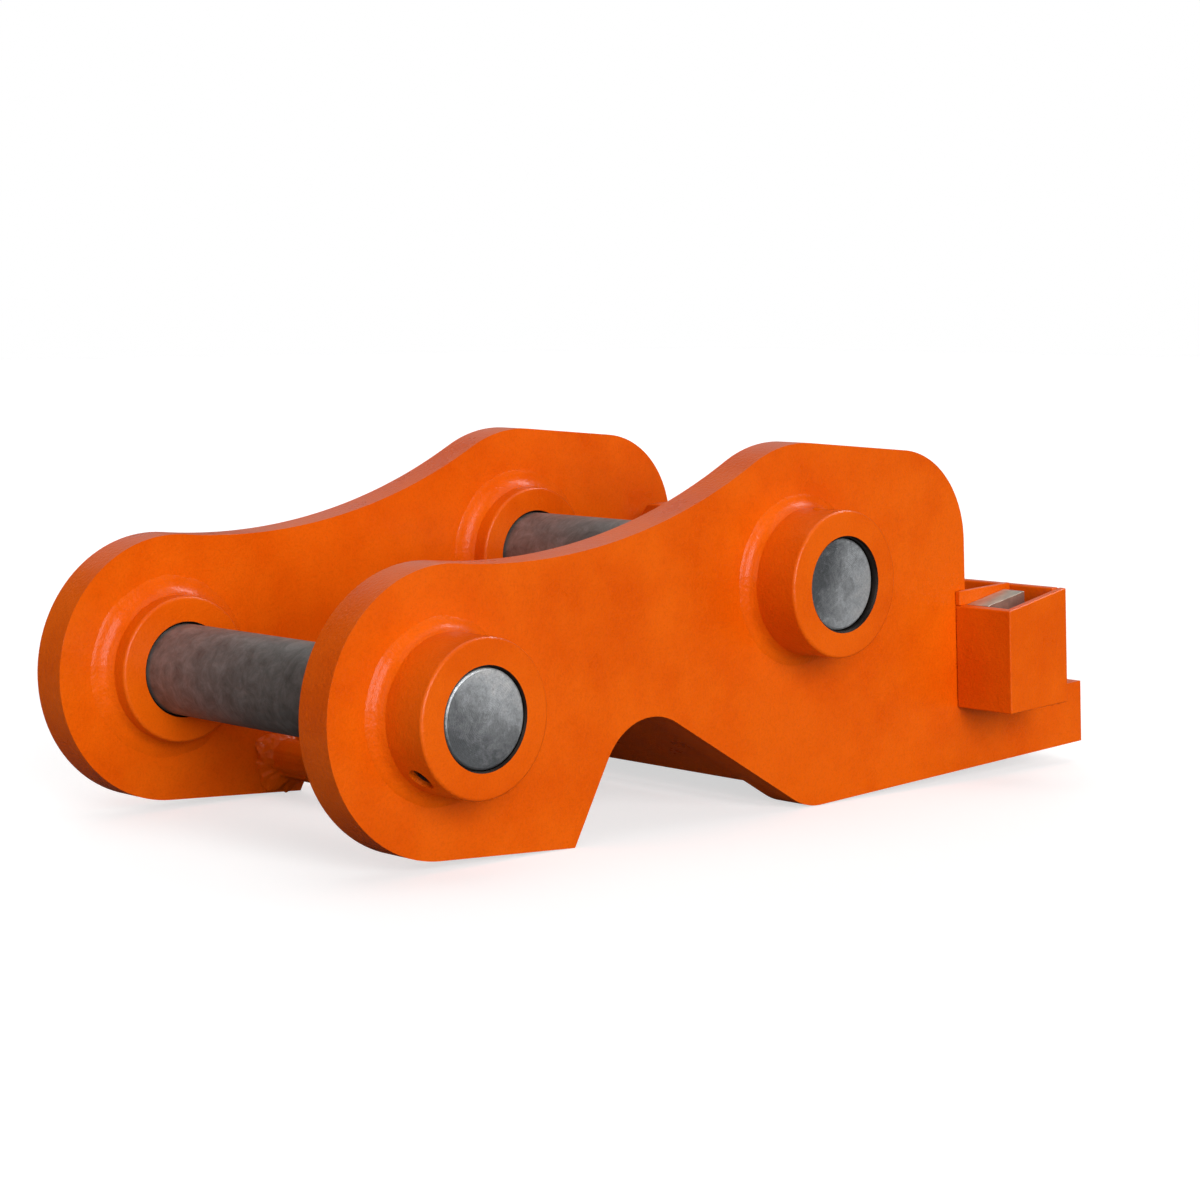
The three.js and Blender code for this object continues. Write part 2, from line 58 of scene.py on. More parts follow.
def addNode(tree, kind, settings=None, links=None):
    # settings are the node's own choices, links are socket values or other nodes' outputs
    node = tree.nodes.new(kind)
    for key, value in (settings or {}).items():
        if key == "stops":
            first, last = node.color_ramp.elements
            first.position, first.color = value[0]
            last.position, last.color = value[-1]
            for position, colour in value[1:-1]:
                node.color_ramp.elements.new(position).color = colour
        else:
            setattr(node, key, value)
    for key, value in (links or {}).items():
        if isinstance(value, bpy.types.NodeSocket):
            tree.links.new(value, node.inputs[key])
        else:
            node.inputs[key].default_value = value
    return node


def newMaterial(name):
    material = bpy.data.materials.new(name)
    material.use_nodes = True
    tree = material.node_tree
    tree.nodes.clear()
    output = addNode(tree, "ShaderNodeOutputMaterial")
    coords = addNode(tree, "ShaderNodeTexCoord").outputs["Object"]
    return material, tree, output, coords


def grey(value):
    return (value, value, value, 1.0)


orangeEnamel = {
    "colour": "#EA6101",        # sprayed safety orange
    "thin": "#DF5501",          # where the coat is thinner
    "blotchMm": 48,
    "waveMm": 11,               # slow waves in the plate and the coat
    "waveDepthMm": {False: 0.35, True: 1.2},      # on plain plate, and over weld
    "peelMm": 1.7,              # orange peel, drawn a little coarse so that it shows
    "grainMm": 1.0,             # dust and overspray, likewise
    "specular": {False: 0.22, True: 0.12},
    "roughness": (0.24, 0.4),
}


def makeOrangeEnamel(name="orangeEnamel", overWeld=False):
    # two-pack enamel sprayed over shot-blasted plate: glossy, with orange peel and soft blotches
    material, tree, output, coords = newMaterial(name)
    coat = orangeEnamel
    blotch = addNode(tree, "ShaderNodeTexNoise", links={
        "Vector": coords, "Scale": 1 / (coat["blotchMm"] * mm), "Detail": 4.0, "Roughness": 0.6})
    colour = addNode(tree, "ShaderNodeValToRGB", {"stops": [
        (0.34, linearColour(coat["thin"])), (0.6, linearColour(coat["colour"]))]},
        {"Fac": blotch.outputs["Fac"]})
    sheen = addNode(tree, "ShaderNodeValToRGB", {"stops": [
        (0.3, grey(coat["roughness"][0])), (0.7, grey(coat["roughness"][1]))]},
        {"Fac": blotch.outputs["Fac"]})
    grain = addNode(tree, "ShaderNodeTexNoise", links={
        "Vector": coords, "Scale": 1 / (coat["grainMm"] * mm), "Detail": 3.0, "Roughness": 0.7})
    speck = addNode(tree, "ShaderNodeValToRGB", {"stops": [
        (0.36, grey(0.88)), (0.5, grey(0.98)), (0.66, grey(1.0))]}, {"Fac": grain.outputs["Fac"]})
    colour = addNode(tree, "ShaderNodeMix", {"data_type": "RGBA", "blend_type": "MULTIPLY"}, {
        0: 0.8, 6: colour.outputs[0], 7: speck.outputs[0]})
    wave = addNode(tree, "ShaderNodeTexNoise", links={
        "Vector": coords, "Scale": 1 / (coat["waveMm"] * mm), "Detail": 1.0})
    peel = addNode(tree, "ShaderNodeTexNoise", links={
        "Vector": coords, "Scale": 1 / (coat["peelMm"] * mm), "Detail": 2.0})
    bump = addNode(tree, "ShaderNodeBump", links={
        "Height": wave.outputs["Fac"], "Strength": 0.5, "Distance": coat["waveDepthMm"][overWeld] * mm})
    bump = addNode(tree, "ShaderNodeBump", links={
        "Height": peel.outputs["Fac"], "Strength": 0.7, "Distance": 0.4 * mm,
        "Normal": bump.outputs["Normal"]})
    bump = addNode(tree, "ShaderNodeBump", links={
        "Height": grain.outputs["Fac"], "Strength": 0.6, "Distance": 0.2 * mm,
        "Normal": bump.outputs["Normal"]})
    shader = addNode(tree, "ShaderNodeBsdfPrincipled", links={
        "Base Color": colour.outputs[2], "Roughness": sheen.outputs[0], "Normal": bump.outputs["Normal"],
        "IOR": 1.45, "Specular IOR Level": coat["specular"][overWeld], "Coat Weight": 0.1,
        "Coat Roughness": 0.1})
    tree.links.new(shader.outputs[0], output.inputs["Surface"])
    return material


def makeGroundSteel():
    # centreless-ground alloy steel, oiled: stained grey, with fine rings round the pin
    ringsPerMetre, stainMm = 900, 9
    material, tree, output, coords = newMaterial("groundSteel")
    rings = addNode(tree, "ShaderNodeMapping", links={"Vector": coords, "Scale": (20, ringsPerMetre, 20)})
    line = addNode(tree, "ShaderNodeTexNoise", links={
        "Vector": rings.outputs[0], "Scale": 1.0, "Detail": 4.0, "Roughness": 0.7})
    stain = addNode(tree, "ShaderNodeTexNoise", links={
        "Vector": coords, "Scale": 1 / (stainMm * mm), "Detail": 7.0, "Roughness": 0.75,
        "Distortion": 0.5})
    colour = addNode(tree, "ShaderNodeValToRGB", {"stops": [
        (0.3, linearColour("#605E5B")), (0.5, linearColour("#7B7976")), (0.7, linearColour("#93918E"))]},
        {"Fac": stain.outputs["Fac"]})
    rough = addNode(tree, "ShaderNodeValToRGB", {"stops": [(0.3, grey(0.4)), (0.7, grey(0.58))]},
                    {"Fac": line.outputs["Fac"]})
    bump = addNode(tree, "ShaderNodeBump", links={
        "Height": line.outputs["Fac"], "Strength": 0.3, "Distance": 0.03 * mm})
    shader = addNode(tree, "ShaderNodeBsdfPrincipled", links={
        "Base Color": colour.outputs[0], "Metallic": 0.5, "Roughness": rough.outputs[0],
        "Normal": bump.outputs["Normal"]})
    tree.links.new(shader.outputs[0], output.inputs["Surface"])
    return material


facedSteel = {
    "pitchMm": 0.9, "waveRepeat": 0.314,      # feed of the facing cut; a wave texture's repeat at scale 1
    "scuffMm": 1.3, "cloudMm": 6,
}


def makeFacedSteel(name, centre, paintedHighlightSide):
    # lathe-faced pin end: rings round its own centre, scuffed by a hammer; the given side is painted
    # brighter, a painted highlight
    material, tree, output, coords = newMaterial(name)
    place = addNode(tree, "ShaderNodeMapping", links={
        "Vector": coords, "Location": (-centre[0] * mm, 0, -centre[1] * mm)})
    rings = addNode(tree, "ShaderNodeTexWave", {"wave_type": "RINGS", "rings_direction": "Y"}, {
        "Vector": place.outputs[0], "Scale": facedSteel["waveRepeat"] / (facedSteel["pitchMm"] * mm),
        "Distortion": 3.0, "Detail": 3.0, "Detail Scale": 2.0})
    scuff = addNode(tree, "ShaderNodeTexNoise", links={
        "Vector": coords, "Scale": 1 / (facedSteel["scuffMm"] * mm), "Detail": 6.0, "Roughness": 0.8,
        "Distortion": 0.6})
    cloud = addNode(tree, "ShaderNodeTexNoise", links={
        "Vector": coords, "Scale": 1 / (facedSteel["cloudMm"] * mm), "Detail": 6.0, "Roughness": 0.7,
        "Distortion": 0.4})
    # painted highlight: the face is painted lighter towards the given side
    side = addNode(tree, "ShaderNodeVectorMath", {"operation": "DOT_PRODUCT"}, {
        0: place.outputs[0], 1: (paintedHighlightSide[0] / (pinRadius * mm), 0, paintedHighlightSide[1] / (pinRadius * mm))})
    even = addNode(tree, "ShaderNodeMath", {"operation": "MULTIPLY_ADD"}, {
        0: cloud.outputs["Fac"], 1: 0.5, 2: 0.26})
    # the cloud's mottle is the steel's own uneven tone; the side term added to it is painted highlight
    mottleAndPaintedHighlight = addNode(tree, "ShaderNodeMath", {"operation": "MULTIPLY_ADD"}, {
        0: side.outputs["Value"], 1: 0.27, 2: even.outputs[0]})
    # the ramp's top end runs to white for the painted highlight
    colour = addNode(tree, "ShaderNodeValToRGB", {"stops": [
        (0.34, linearColour("#7C7F82")), (0.5, linearColour("#B3B6B9")), (0.64, linearColour("#E4E8EB")),
        (0.78, linearColour("#FFFFFF"))]}, {"Fac": mottleAndPaintedHighlight.outputs[0]})
    mottle = addNode(tree, "ShaderNodeValToRGB", {"stops": [(0.35, grey(0.72)), (0.62, grey(1.0))]},
                     {"Fac": scuff.outputs["Fac"]})
    colour = addNode(tree, "ShaderNodeMix", {"data_type": "RGBA", "blend_type": "MULTIPLY"}, {
        0: 1.0, 6: colour.outputs[0], 7: mottle.outputs[0]})
    rough = addNode(tree, "ShaderNodeValToRGB", {"stops": [(0.3, grey(0.26)), (0.7, grey(0.5))]},
                    {"Fac": scuff.outputs["Fac"]})
    bump = addNode(tree, "ShaderNodeBump", links={
        "Height": rings.outputs["Fac"], "Strength": 0.5, "Distance": 0.08 * mm})
    bump = addNode(tree, "ShaderNodeBump", links={
        "Height": scuff.outputs["Fac"], "Strength": 0.9, "Distance": 0.25 * mm,
        "Normal": bump.outputs["Normal"]})
    tangent = addNode(tree, "ShaderNodeVectorMath", {"operation": "CROSS_PRODUCT"}, {
        0: place.outputs[0], 1: (0, 1, 0)})
    shader = addNode(tree, "ShaderNodeBsdfPrincipled", links={
        "Base Color": colour.outputs[2], "Metallic": 0.7, "Roughness": rough.outputs[0],
        "Anisotropic": 0.5, "Tangent": tangent.outputs[0], "Normal": bump.outputs["Normal"]})
    tree.links.new(shader.outputs[0], output.inputs["Surface"])
    return material


def makeBareMetal(name, dark, light, roughness):
    # a machined or plated small part: two close tones, with a fine tooth
    patchMm, toothMm = 9, 0.6
    material, tree, output, coords = newMaterial(name)
    patch = addNode(tree, "ShaderNodeTexNoise", links={
        "Vector": coords, "Scale": 1 / (patchMm * mm), "Detail": 5.0, "Roughness": 0.65})
    tooth = addNode(tree, "ShaderNodeTexNoise", links={
        "Vector": coords, "Scale": 1 / (toothMm * mm), "Detail": 3.0})
    colour = addNode(tree, "ShaderNodeValToRGB", {"stops": [
        (0.32, linearColour(dark)), (0.66, linearColour(light))]}, {"Fac": patch.outputs["Fac"]})
    rough = addNode(tree, "ShaderNodeValToRGB", {"stops": [
        (0.3, grey(roughness - 0.06)), (0.7, grey(roughness + 0.08))]}, {"Fac": patch.outputs["Fac"]})
    bump = addNode(tree, "ShaderNodeBump", links={
        "Height": tooth.outputs["Fac"], "Strength": 0.4, "Distance": 0.06 * mm})
    shader = addNode(tree, "ShaderNodeBsdfPrincipled", links={
        "Base Color": colour.outputs[0], "Metallic": 0.8, "Roughness": rough.outputs[0],
        "Normal": bump.outputs["Normal"]})
    tree.links.new(shader.outputs[0], output.inputs["Surface"])
    return material


paint = makeOrangeEnamel()
weldPaint = makeOrangeEnamel("orangeEnamelOverWeld", overWeld=True)
groundSteel = makeGroundSteel()
# the last argument is the side of each pin face that is painted brighter, a painted highlight
stickFace = makeFacedSteel("facedSteelStickPin", stickPin, (0.5, 0.87))
linkFace = makeFacedSteel("facedSteelLinkPin", linkPin, (0.9, -0.3))
boreSteelAndPaintedShade = makeBareMetal("oiledBoreSteelAndPaintedShade", "#17120F", "#2C2420", 0.5)      # unpainted bore mouth; its near-black tone is also a painted shade for the gap round the pin
blackOxide = makeBareMetal("blackOxideSteel", "#1B1A1A", "#33302E", 0.42)   # socket screws, roll pins
zincPlate = makeBareMetal("zincPlatedSteel", "#A9A89F", "#CFCDC4", 0.3)     # bright zinc fasteners
milledSteel = makeBareMetal("milledSteel", "#A79F92", "#D6CCBA", 0.38)      # keys, crossbar, spindle
bronze = makeBareMetal("machinedBronze", "#9C6F33", "#C2934C", 0.32)
print("materials made")


# lengths are in millimetres from here on, and in the side view x runs right and z up
def at(x, y, z):
    return Vector((x, y, z)) * mm


def onlyVerts(geometry):
    return [item for item in geometry if isinstance(item, bmesh.types.BMVert)]


def startChain(bm, x, z, y):
    return bm.verts.new(at(x, y, z))


def lineTo(bm, vert, x, z):
    step = bmesh.ops.extrude_vert_indiv(bm, verts=[vert])["verts"][0]
    step.co = at(x, vert.co.y / mm, z)
    return step


def arcTo(bm, vert, centre, degrees, steps):
    # positive degrees turn from +X towards +Z
    made = bmesh.ops.spin(
        bm, geom=[vert], cent=at(centre[0], vert.co.y / mm, centre[1]), axis=-alongY,
        angle=math.radians(degrees), steps=steps, use_merge=False)
    return onlyVerts(made["geom_last"])[0]


def bevelSharp(bm, offset, segments=3, minDegrees=35, keep=None):
    edges = [edge for edge in bm.edges if len(edge.link_faces) == 2
             and edge.calc_face_angle(0) > math.radians(minDegrees) and (keep is None or keep(edge))]
    if edges:
        bmesh.ops.bevel(
            bm, geom=edges, offset=offset * mm, offset_type="OFFSET", affect="EDGES",
            segments=segments, profile=0.5, material=-1, clamp_overlap=True)


def extrudeOutline(bm, thickness):
    # closes the drawn edges into a face, holes left open, and gives it a thickness along +Y
    bmesh.ops.remove_doubles(bm, verts=bm.verts, dist=0.02 * mm)
    bmesh.ops.triangle_fill(bm, use_beauty=True, use_dissolve=False, edges=bm.edges[:], normal=-alongY)
    made = bmesh.ops.extrude_face_region(bm, geom=bm.faces[:])
    bmesh.ops.translate(bm, verts=onlyVerts(made["geom"]), vec=alongY * thickness * mm)
    bmesh.ops.recalc_face_normals(bm, faces=bm.faces)


sharpFrom = math.radians(38)      # an edge turning more than this is shaded sharp


def finishPiece(name, bm, body, materials, nodes=(), weighted=True):
    mesh = bpy.data.meshes.new(name)
    bmesh.ops.recalc_face_normals(bm, faces=bm.faces)
    for face in bm.faces:
        face.smooth = True
    for edge in bm.edges:
        edge.smooth = len(edge.link_faces) == 2 and edge.calc_face_angle(0) < sharpFrom
    bm.to_mesh(mesh)
    bm.free()
    piece = bpy.data.objects.new(name, mesh)
    bpy.context.scene.collection.objects.link(piece)
    for material in materials if isinstance(materials, (list, tuple)) else [materials]:
        mesh.materials.append(material)
    if weighted:
        modifier = piece.modifiers.new("faceWeights", "WEIGHTED_NORMAL")
        modifier.keep_sharp = True
        modifier.weight = 80
    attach(piece, body)
    if nodes:
        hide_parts(*((nodes,) if isinstance(nodes, str) else nodes))
    return piece


# the rear body has a frame of its own: u along its sloping underside, w square to it
rearRise = math.radians(2.95)
rearOrigin = Vector((42.825, 0, 0.0135))
rearPlace = Matrix.Translation(rearOrigin * mm) @ Matrix.Rotation(-rearRise, 4, "Y")


def rearPoint(u, w):
    point = rearPlace @ at(u, 0, w)
    return point.x / mm, point.z / mm


def blockMesh(low, high, bevel=1.2):
    # low and high are corners in the rear body's u, y and w
    bm = bmesh.new()
    bmesh.ops.create_cube(bm, size=1.0)
    size = Vector(high) - Vector(low)
    bmesh.ops.scale(bm, vec=size * mm, verts=bm.verts)
    bmesh.ops.translate(bm, vec=(Vector(low) + size / 2) * mm, verts=bm.verts)
    bevelSharp(bm, bevel)
    bmesh.ops.transform(bm, matrix=rearPlace, verts=bm.verts)
    return bm


def turnProfile(points, centre, steps=128):
    # points are (radius, y); the outline is spun about the Y axis through centre
    bm = bmesh.new()
    first = previous = bm.verts.new(at(centre[0] + points[0][0], points[0][1], centre[1]))
    for radius, y in points[1:]:
        step = bmesh.ops.extrude_vert_indiv(bm, verts=[previous])["verts"][0]
        step.co = at(centre[0] + radius, y, centre[1])
        previous = step
    if points[0][0] > 0:
        bm.edges.new((previous, first))
    bmesh.ops.spin(
        bm, geom=bm.verts[:] + bm.edges[:], cent=at(centre[0], 0, centre[1]), axis=alongY,
        angle=2 * math.pi, steps=steps, use_merge=True)
    bmesh.ops.remove_doubles(bm, verts=bm.verts, dist=0.01 * mm)
    bmesh.ops.recalc_face_normals(bm, faces=bm.faces)
    return bm


weld = {      # ripple, waver and rough are shares of the bead's radius
    "pitch": 2.8, "ripple": 0.035, "waver": 0.12, "waversPerMm": 0.09, "rough": 0.05, "bumpsPerMm": 0.5,
    "sides": 12, "step": 1.1,
}


def rippleBead(bm, along, radial, seed):
    # along gives the distance down the seam in mm, radial the seam's centre nearest a vertex
    for vert in bm.verts:
        centre = radial(vert.co)
        run = along(vert.co)
        scallop = abs(math.sin(math.pi * run / weld["pitch"])) * weld["ripple"]
        waver = noise.noise(Vector((run * weld["waversPerMm"], seed * 7.3, 0))) * weld["waver"]
        rough = noise.noise(vert.co / mm * weld["bumpsPerMm"]) * weld["rough"]
        vert.co = centre + (vert.co - centre) * (1 + scallop + waver + rough)


def weldLine(name, start, end, radius, seed, place=rearPlace):
    bm = bmesh.new()
    start, end = Vector(start), Vector(end)
    run = end - start
    bmesh.ops.create_circle(bm, cap_ends=False, segments=weld["sides"], radius=radius * mm)
    turn = run.to_track_quat("Z", "Y").to_matrix().to_4x4()
    bmesh.ops.transform(bm, matrix=Matrix.Translation(start * mm) @ turn, verts=bm.verts)
    steps = max(4, int(run.length / weld["step"]))
    bmesh.ops.spin(
        bm, geom=bm.verts[:] + bm.edges[:], cent=(0, 0, 0), axis=(0, 0, 1), dvec=run * mm / steps,
        angle=0, steps=steps, use_merge=False)
    bmesh.ops.holes_fill(bm, edges=[edge for edge in bm.edges if edge.is_boundary], sides=0)
    way = run.normalized()
    along = lambda point: (point / mm - start).dot(way)
    spot = lambda point: (start + way * along(point)) * mm
    rippleBead(bm, along, spot, seed)
    bmesh.ops.transform(bm, matrix=place, verts=bm.verts)
    return finishPiece(name, bm, "frame", weldPaint, weighted=False)


def weldRing(name, centre, radius, y, section, seed):
    # section is a list of (radius, y) round the bead; radius and y are the seam's own
    bm = turnProfile(section, centre, int(2 * math.pi * radius / weld["step"]))

    def spot(point):
        flat = Vector((point.x - centre[0] * mm, 0, point.z - centre[1] * mm)).normalized() * radius * mm
        return Vector((centre[0] * mm + flat.x, y * mm, centre[1] * mm + flat.z))

    def along(point):
        return math.atan2(point.z - centre[1] * mm, point.x - centre[0] * mm) * radius

    rippleBead(bm, along, spot, seed)
    return finishPiece(name, bm, "frame", weldPaint, weighted=False)


sidePlate = {
    "inner": 95.5, "thickness": 20, "edge": 1.7,
    "lobe": (-191.7, 70.4, 65.6), "hump": (34.5, 110.1, 71.4),        # arcs: centre x, z and radius
    "humpRear": {-1: (105.6, 124.4, 51), 1: (96.1, 125.2, 51)}, "seat": (-66.7, 24.6, 31.6),
    "heel": (48.18, 36.34, 36), "waist": (-152.0, 455.7), "lugCorner": -115.6,
    "seatFront": 151.9, "seatRear": 60.0, "humpEnd": {-1: 120, 1: 110.5},
    "shelf": 33.2, "plateEnd": 215, "hole": 36.3,
}


def onCircle(circle, degrees, radius=None):
    radius = circle[2] if radius is None else radius
    angle = math.radians(degrees)
    return circle[0] + radius * math.cos(angle), circle[1] + radius * math.sin(angle)


def direction(start, end):
    return math.degrees(math.atan2(end[1] - start[1], end[0] - start[0]))


def fromPin(vert, pin):
    return math.dist((vert.co.x / mm, vert.co.z / mm), pin)


def makeSidePlate(name, side, node):
    plate = sidePlate
    lobe, waist, seat = plate["lobe"], plate["waist"], plate["seat"]
    hump, humpRear = plate["hump"], plate["humpRear"][side]
    rise = math.degrees(rearRise)
    toWaist = direction(lobe, waist)
    humpToWaist = direction(hump, waist)
    apart = math.dist(hump[:2], humpRear[:2])
    topNormal = direction(hump, humpRear) + math.degrees(math.acos((hump[2] - humpRear[2]) / apart))
    lugTip = (plate["lugCorner"], 0)
    lugNormal = direction(lobe, lugTip) - math.degrees(math.acos(lobe[2] / math.dist(lobe[:2], lugTip)))
    low = -plate["inner"] - plate["thickness"] if side < 0 else plate["inner"]

    bm = bmesh.new()
    tip = startChain(bm, *rearPoint(plate["plateEnd"], 0), y=low)
    tip = lineTo(bm, tip, *rearPoint(plate["plateEnd"], plate["shelf"]))
    tip = lineTo(bm, tip, *rearPoint(plate["humpEnd"][side], plate["shelf"]))
    tip = lineTo(bm, tip, *onCircle(humpRear, rise))
    tip = arcTo(bm, tip, humpRear, topNormal - rise, 30)
    tip = lineTo(bm, tip, *onCircle(hump, topNormal))
    tip = arcTo(bm, tip, hump, humpToWaist - topNormal, 22)
    tip = arcTo(bm, tip, waist, toWaist - humpToWaist, 40)
    tip = arcTo(bm, tip, lobe, lugNormal + 360 - toWaist, 60)
    tip = lineTo(bm, tip, *lugTip)
    tip = lineTo(bm, tip, *onCircle(seat, plate["seatFront"]))
    tip = arcTo(bm, tip, seat, plate["seatRear"] - plate["seatFront"], 26)
    tip = lineTo(bm, tip, *onCircle(plate["heel"], plate["seatRear"] - 180))
    tip = arcTo(bm, tip, plate["heel"], 90 + rise - plate["seatRear"], 12)
    lineTo(bm, tip, *rearPoint(plate["plateEnd"], 0))
    for pin in (stickPin, linkPin):
        made = bmesh.ops.create_circle(bm, cap_ends=False, segments=96, radius=plate["hole"] * mm)
        ring = made["verts"]
        bmesh.ops.rotate(bm, verts=ring, cent=(0, 0, 0), matrix=Matrix.Rotation(math.pi / 2, 3, "X"))
        bmesh.ops.translate(bm, verts=ring, vec=at(pin[0], low, pin[1]))
    extrudeOutline(bm, plate["thickness"])

    def outward(edge):
        # the plate's own outline, not the two holes, which the bosses fill
        return all(fromPin(vert, pin) > plate["hole"] + 0.3
                   for vert in edge.verts for pin in (stickPin, linkPin))

    bevelSharp(bm, plate["edge"], 4, 30, outward)
    return finishPiece(name, bm, "frame", paint, node)


makeSidePlate("sidePlateLeft", -1, "side_plate_left")
makeSidePlate("sidePlateRight", 1, "side_plate_right")
print("side plates made")


# the bosses, their ring welds and their pins
boss = {
    "radius": 36, "bore": 22.75, "outer": 146, "inner": 81, "edge": 1.6, "mouth": 0.9,
    "weldLeg": 5.5, "weldFoot": {"Outer": 6.6, "Inner": 9.5}, "weldMiddle": 36.5, "pinEdge": 1.4,
    "screwHole": 6.2, "screwY": 132.5, "screwMiddle": 32, "screwDepth": 24,
}


def cutHole(piece, place, radius, depth):
    # drills with a throwaway cutter along its local Z, then keeps the cut mesh
    bm = bmesh.new()
    bmesh.ops.create_cone(
        bm, cap_ends=True, segments=40, radius1=radius * mm, radius2=radius * mm, depth=depth * mm)
    bmesh.ops.transform(bm, matrix=place, verts=bm.verts)
    mesh = bpy.data.meshes.new("drill")
    bm.to_mesh(mesh)
    bm.free()
    drill = bpy.data.objects.new("drill", mesh)
    bpy.context.scene.collection.objects.link(drill)
    modifier = piece.modifiers.new("drilled", "BOOLEAN")
    modifier.object, modifier.operation, modifier.solver = drill, "DIFFERENCE", "EXACT"
    bpy.context.view_layer.update()
    solved = piece.evaluated_get(bpy.context.evaluated_depsgraph_get())
    cutMesh = bpy.data.meshes.new_from_object(solved)
    piece.modifiers.remove(modifier)
    old = piece.data
    piece.data = cutMesh
    bpy.data.meshes.remove(old)
    bpy.data.objects.remove(drill)
    bpy.data.meshes.remove(mesh)


def makeBoss(name, pin, side, node, screwDegrees=None):
    profile = [
        (boss["bore"] + boss["mouth"], boss["outer"]), (boss["radius"], boss["outer"]),
        (boss["radius"], boss["inner"]), (boss["bore"] + boss["mouth"], boss["inner"]),
        (boss["bore"], boss["inner"] + boss["mouth"]), (boss["bore"], boss["outer"] - boss["mouth"]),
    ]
    bm = turnProfile([(radius, y * side) for radius, y in profile], pin)
    rim = lambda edge: all(fromPin(vert, pin) > boss["radius"] - 0.3 for vert in edge.verts)
    bevelSharp(bm, boss["edge"], 4, 60, rim)
    bore = boss["bore"] + boss["mouth"] + 0.2
    # the bore faces take the near-black bore steel, partly bare steel and partly painted shade for the
    # gap round the pin
    for face in bm.faces:
        if all(fromPin(vert, pin) < bore for vert in face.verts):
            face.material_index = 1
    piece = finishPiece(name, bm, "frame", [paint, boreSteelAndPaintedShade], node)
    if screwDegrees is not None:
        angle = math.radians(screwDegrees)
        out = Vector((math.cos(angle), 0, math.sin(angle)))
        place = Matrix.Translation(at(pin[0], -boss["screwY"], pin[1]) + out * boss["screwMiddle"] * mm)
        turn = out.to_track_quat("Z", "Y").to_matrix().to_4x4()
        cutHole(piece, place @ turn, boss["screwHole"], boss["screwDepth"])
    return piece


def fillet(radius, face, leg, foot, side):
    # leg runs up the boss, foot out over the plate, and side is the way off the plate
    hollow = [      # shares of the foot and of the leg, from the toe on the plate up to the boss
        (1.05, -0.15), (0.86, 0.07), (0.64, 0.15), (0.44, 0.27), (0.27, 0.43), (0.14, 0.64), (0.05, 0.86)]
    sunk = radius - 1.2      # the bead's back lies a little inside the boss and the plate
    section = [(sunk, face - side * 0.6), (radius + foot * 0.9, face - side * 0.8)]
    section += [(radius + foot * out, face + side * leg * up) for out, up in hollow]
    return section + [(radius - 0.1, face + side * leg * 1.05), (sunk, face + side * leg)]


def makePin(name, pin, recess, node, faceMaterial):
    end = boss["outer"] - recess
    bm = turnProfile([(0, -end), (pinRadius, -end), (pinRadius, end), (0, end)], pin)
    bevelSharp(bm, boss["pinEdge"], 3, 60)
    for face in bm.faces:
        if abs(face.normal.y) > 0.3:
            face.material_index = 1
    return finishPiece(name, bm, "frame", [groundSteel, faceMaterial], node)


plateFaces = (sidePlate["inner"], sidePlate["inner"] + sidePlate["thickness"])
for label, pin, recess, screwDegrees, faceMaterial in (
        ("stick", stickPin, 0.5, 225, stickFace), ("link", linkPin, 3, 90, linkFace)):
    for sideName, side in (("left", -1), ("right", 1)):
        drilled = screwDegrees if side < 0 else None
        makeBoss(f"{label}Boss{sideName.title()}", pin, side, f"{label}_boss_{sideName}", drilled)
        for place, face, away in (("Outer", plateFaces[1], 1), ("Inner", plateFaces[0], -1)):
            foot = boss["weldFoot"][place]
            section = fillet(boss["radius"], face * side, boss["weldLeg"], foot, away * side)
            weldRing(f"{label}Weld{place}{sideName.title()}", pin, boss["weldMiddle"], face * side,
                     section, seed=len(label) + side + away)
    makePin(f"{label}Pin", pin, recess, f"{label}_pin", faceMaterial)
print("bosses and pins made")


lining = {"recess": 1, "thickness": 12, "slope": 80, "leg": 14, "half": 95.2}
tieBar = {
    "x": -128.1, "z": 19, "radius": 10, "weldRadius": 17.4, "weldLength": 7.5,
    "trim": 0.98, "lumps": ((0.11, 0.2), (0.33, 0.09)),      # lumps: how many per mm, height as a share
}


def makeLining():
    # a bent plate that follows the hook's seat, with a short leg in front and a long slope behind
    seat = sidePlate["seat"]
    inner = seat[2] + lining["recess"]
    outer = inner + lining["thickness"]
    front, rear = sidePlate["seatFront"], sidePlate["seatRear"]
    down = Vector((math.sin(math.radians(rear)), -math.cos(math.radians(rear)))) * lining["slope"]
    nose = Vector((-math.sin(math.radians(front)), math.cos(math.radians(front)))) * lining["leg"]
    bm = bmesh.new()
    tip = startChain(bm, *(Vector(onCircle(seat, rear, inner)) + down), y=-lining["half"])
    tip = lineTo(bm, tip, *(Vector(onCircle(seat, rear, outer)) + down))
    tip = lineTo(bm, tip, *onCircle(seat, rear, outer))
    tip = arcTo(bm, tip, seat, front - rear, 30)
    tip = lineTo(bm, tip, *(Vector(onCircle(seat, front, outer)) + nose))
    tip = lineTo(bm, tip, *(Vector(onCircle(seat, front, inner)) + nose))
    tip = lineTo(bm, tip, *onCircle(seat, front, inner))
    tip = arcTo(bm, tip, seat, rear - front, 30)
    lineTo(bm, tip, *(Vector(onCircle(seat, rear, inner)) + down))
    extrudeOutline(bm, 2 * lining["half"])
    bevelSharp(bm, 1.0, 3, 45)
    finishPiece("hookLining", bm, "frame", paint, "hook_lining")


